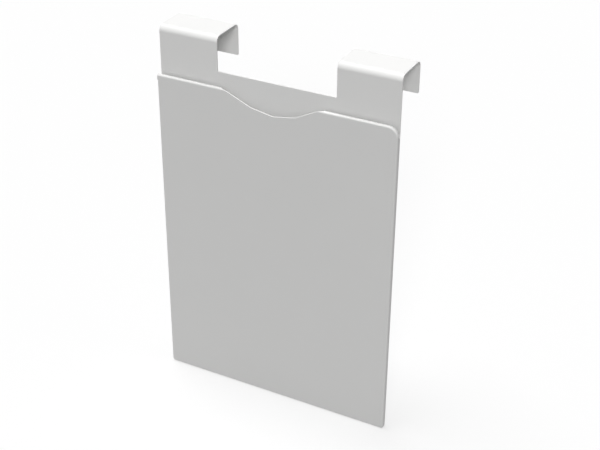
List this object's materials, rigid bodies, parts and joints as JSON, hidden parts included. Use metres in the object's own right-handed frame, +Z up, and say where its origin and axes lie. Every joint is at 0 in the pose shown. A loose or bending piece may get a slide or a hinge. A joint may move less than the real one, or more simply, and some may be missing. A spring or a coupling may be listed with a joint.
{
  "type": "hanging document pocket",
  "caption": "Shallow upright sheet-steel pocket for A4 papers, with a finger notch in its front and integral hooks that hang it over the top edge of a board or bed end.",
  "frame": {"origin": "top front edge of the board that the pocket hangs on, midway between the hooks: the undersides of the hooks' tops lie at Z = 0 and the back plate's rear face at Y = 0", "axes": "+X to the right as seen from the front, +Y from the front into the board, +Z up"},
  "size_m": [0.226, 0.0421, 0.3485],
  "materials": {
    "back_plate": "white satin powder coat on steel sheet",
    "front_pocket": "white satin powder coat on steel sheet"
  },
  "bodies": {
    "root": {"back_plate": "back_plate", "front_pocket": "front_pocket"}
  },
  "joints": []
}
